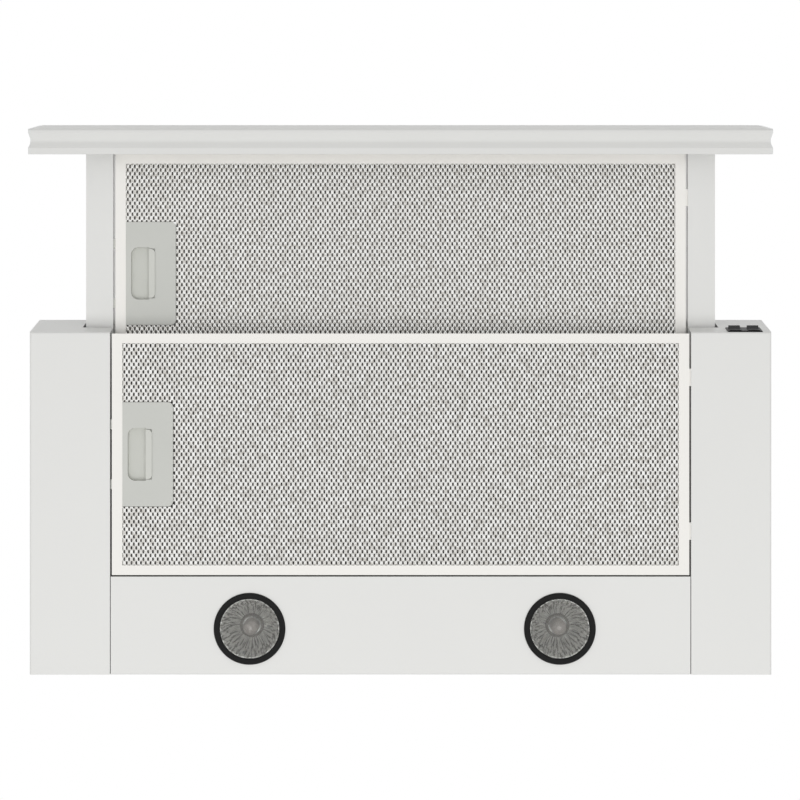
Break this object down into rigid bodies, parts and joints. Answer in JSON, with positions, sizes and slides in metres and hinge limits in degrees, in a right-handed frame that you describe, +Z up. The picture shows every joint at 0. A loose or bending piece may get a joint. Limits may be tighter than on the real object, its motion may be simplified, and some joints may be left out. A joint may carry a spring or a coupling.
{
  "type": "slide-out range hood",
  "caption": "Built-in slide-out range hood with a pull-out visor, mesh grease filters, spot lamps, rocker switches, a fan inside the upper housing and a round outlet on top.",
  "frame": {"origin": "centre of the rectangle of the four cabinet screw holes, on the top face of the base flange", "axes": "+Z up through the outlet, +X to the hood's right as seen from the front (the switch side), -Y to the front, where the visor pulls out"},
  "size_m": [0.6004, 0.4497, 0.2266],
  "materials": {
    "white_paint": "satin white powder coat",
    "white_trim_paint": "satin white powder coat on an extruded profile",
    "white_plastic": "moulded, semi-gloss white",
    "grey_plastic": "moulded, matt light grey",
    "latch_grey": "moulded, matt light grey, slightly warmer",
    "black_plastic": "moulded, matt black",
    "switch_grey": "moulded, matt dark grey",
    "filter_aluminium": "mill finish, light",
    "filter_mesh": "expanded mesh, bright",
    "zinc_steel": "zinc plated",
    "bright_steel": "polished steel",
    "spring_steel": "spring steel, as rolled",
    "fan_plastic": "moulded, matt dark",
    "motor_paint": "dark coated can",
    "rubber": "matt",
    "white_can": "smooth, white sleeve",
    "silvered_glass": "silvered, faceted inside",
    "clear_glass": "clear",
    "quartz": "frosted quartz capsule",
    "ceramic": "unglazed ceramic",
    "galvanised": "galvanised sheet"
  },
  "bodies": {
    "hood_base": {"left_cheek": "white_paint", "right_cheek": "white_paint", "base_top_plate": "white_paint", "lamp_panel": "white_paint", "motor_housing": "galvanised", "outlet_collar": "black_plastic", "scroll_wall": "galvanised", "scroll_side_left": "galvanised", "scroll_side_right": "galvanised", "inlet_ring": "black_plastic", "motor_body": "motor_paint", "motor_bracket": "zinc_steel", "motor_grommets": "rubber", "motor_screws": "zinc_steel", "capacitor": "white_can", "capacitor_nut": "zinc_steel", "terminal_box": "grey_plastic", "terminal_box_lid": "grey_plastic", "terminal_block": "ceramic", "cable_gland": "black_plastic", "left_lamp_ring": "black_plastic", "right_lamp_ring": "black_plastic", "left_lamp_reflector": "silvered_glass", "right_lamp_reflector": "silvered_glass", "left_lamp_lens": "clear_glass", "right_lamp_lens": "clear_glass", "lamp_burners": "quartz", "lamp_holders": "ceramic", "lamp_clips": "spring_steel", "switch_bezel": "black_plastic", "switch_bodies": "black_plastic", "slide_outer_members": "zinc_steel", "slide_hangers": "galvanised", "body_screws": "zinc_steel"},
    "visor": {"visor_trim": "white_trim_paint", "trim_end_caps": "white_plastic", "visor_front_bar": "white_paint", "visor_rear_bar": "white_paint", "left_visor_rail": "white_paint", "right_visor_rail": "white_paint", "trim_screws": "zinc_steel", "slide_inner_members": "zinc_steel", "front_filter_frame": "filter_aluminium", "front_filter_layers": "filter_mesh", "front_latch_plate": "grey_plastic", "front_latch_springs": "spring_steel"},
    "ball_cage_pair": {"ball_cages": "zinc_steel", "slide_balls": "bright_steel"},
    "front_filter_latch": {"front_latch": "latch_grey"},
    "rear_filter": {"rear_filter_frame": "filter_aluminium", "rear_filter_layers": "filter_mesh", "rear_latch_plate": "grey_plastic", "rear_latch_springs": "spring_steel"},
    "rear_filter_latch": {"rear_latch": "latch_grey"},
    "left_switch_rocker": {"left_rocker": "switch_grey"},
    "right_switch_rocker": {"right_rocker": "switch_grey"},
    "fan_wheel": {"impeller": "fan_plastic", "motor_shaft": "bright_steel"},
    "front_flap": {"front_damper_flap": "black_plastic"},
    "rear_flap": {"rear_damper_flap": "black_plastic"}
  },
  "joints": [
    {"name": "visor_slide", "type": "slide", "parent": "hood_base", "child": "visor", "axis": [0, 1, 0], "range_m": [0, 0.14]},
    {"name": "ball_cage_slide", "type": "slide", "parent": "hood_base", "child": "ball_cage_pair", "axis": [0, 1, 0], "range_m": [0, 0.07]},
    {"name": "front_latch_slide", "type": "slide", "parent": "visor", "child": "front_filter_latch", "axis": [1, 0, 0], "range_m": [0, 0.003], "stiffness_N_per_m": 500, "springref_m": -0.006, "deforming": ["front_latch_springs"]},
    {"name": "rear_filter_swing", "type": "hinge", "parent": "hood_base", "child": "rear_filter", "pos_m": [0.2321, -0.03964, -0.0565], "axis": [0, -1, 0], "range_deg": [0, 75]},
    {"name": "rear_latch_slide", "type": "slide", "parent": "rear_filter", "child": "rear_filter_latch", "axis": [1, 0, 0], "range_m": [0, 0.003], "stiffness_N_per_m": 500, "springref_m": -0.006, "deforming": ["rear_latch_springs"]},
    {"name": "left_rocker_tilt", "type": "hinge", "parent": "hood_base", "child": "left_switch_rocker", "pos_m": [0.27055, -0.13878, -0.04726], "axis": [1, 0, 0], "range_deg": [-16, 0]},
    {"name": "right_rocker_tilt", "type": "hinge", "parent": "hood_base", "child": "right_switch_rocker", "pos_m": [0.28545, -0.13878, -0.04726], "axis": [1, 0, 0], "range_deg": [-16, 0]},
    {"name": "fan_spin", "type": "hinge", "parent": "hood_base", "child": "fan_wheel", "pos_m": [0, 0.01, 0.06], "axis": [1, 0, 0], "continuous": true},
    {"name": "front_flap_swing", "type": "hinge", "parent": "hood_base", "child": "front_flap", "pos_m": [0, 0.05152, 0.129], "axis": [-1, 0, 0], "range_deg": [0, 75]},
    {"name": "rear_flap_swing", "type": "hinge", "parent": "hood_base", "child": "rear_flap", "pos_m": [0, 0.05952, 0.129], "axis": [1, 0, 0], "range_deg": [0, 75]}
  ],
  "couplings": [
    {"joint": "ball_cage_slide", "follows": "visor_slide", "ratio": 0.5}
  ]
}
